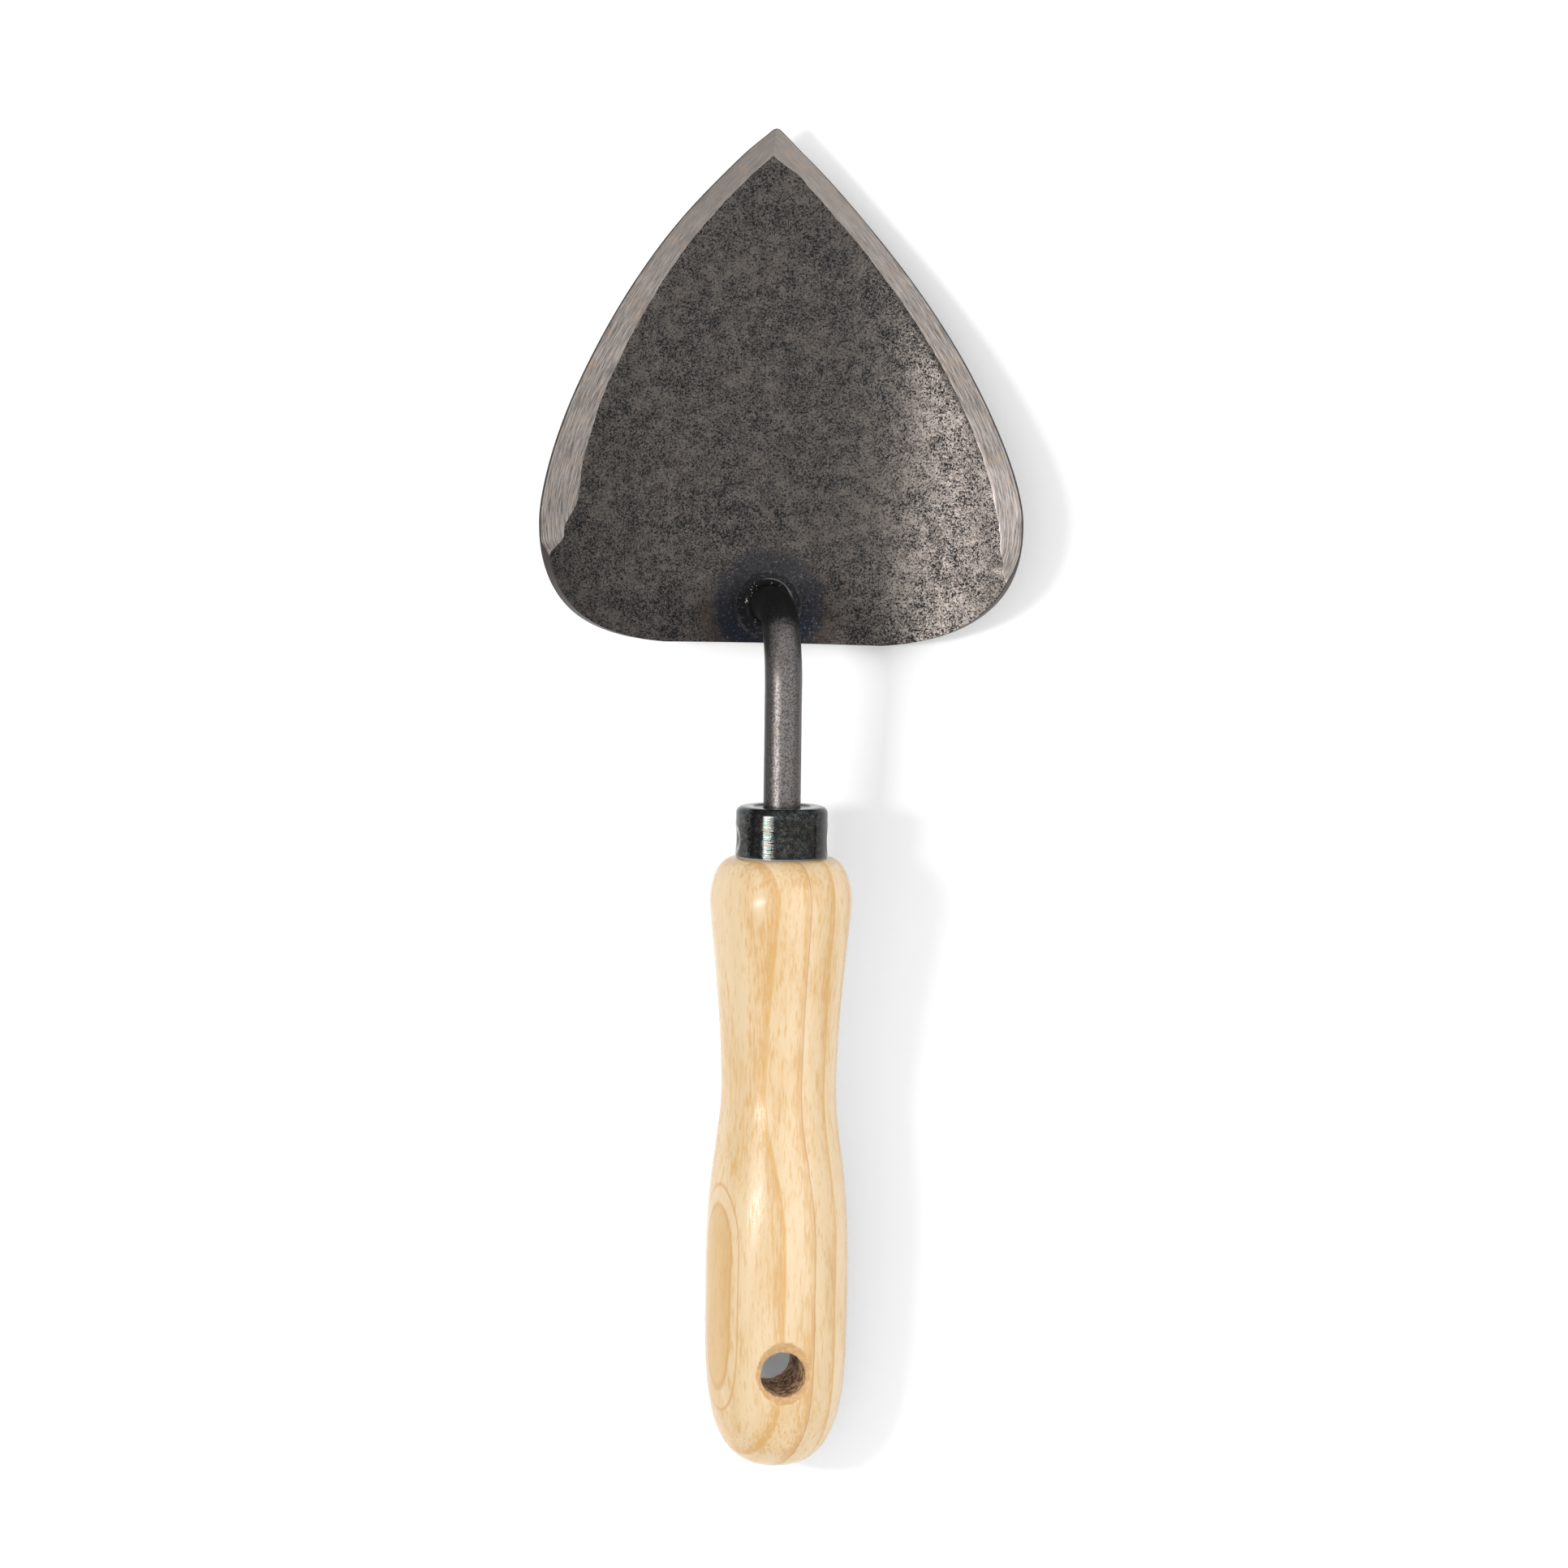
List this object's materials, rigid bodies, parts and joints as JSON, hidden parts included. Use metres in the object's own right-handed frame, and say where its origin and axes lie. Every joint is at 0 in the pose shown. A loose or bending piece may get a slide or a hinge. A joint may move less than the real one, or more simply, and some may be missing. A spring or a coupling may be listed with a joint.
{
  "type": "hand transplanter",
  "caption": "Garden hand transplanter: heart-shaped dished steel blade with ground bevels on a cranked round shank, steel ferrule and turned wooden handle with a hang hole.",
  "frame": {"origin": "where the axis of the hang hole crosses the axis of the handle", "axes": "+Y along the handle axis towards the blade tip, +Z along the hang hole, out of the concave side of the blade, +X to the right when the concave side faces the viewer and the tip points up"},
  "size_m": [0.1122, 0.306, 0.0503],
  "materials": {
    "blade_steel": "dark mill scale on rolled steel sheet, with bright ground bevels along the sides",
    "shank_steel": "forged round bar with thin dark scale, satin",
    "weld_steel": "black glossy weld metal, slightly rough on the back",
    "ferrule_black": "glossy black oxide and lacquer, lightly scratched",
    "handle_wood": "pale ash under clear lacquer"
  },
  "bodies": {
    "root": {"blade": "blade_steel", "shank": "shank_steel", "foot_weld": "weld_steel", "ferrule": "ferrule_black", "handle": "handle_wood"}
  },
  "joints": []
}
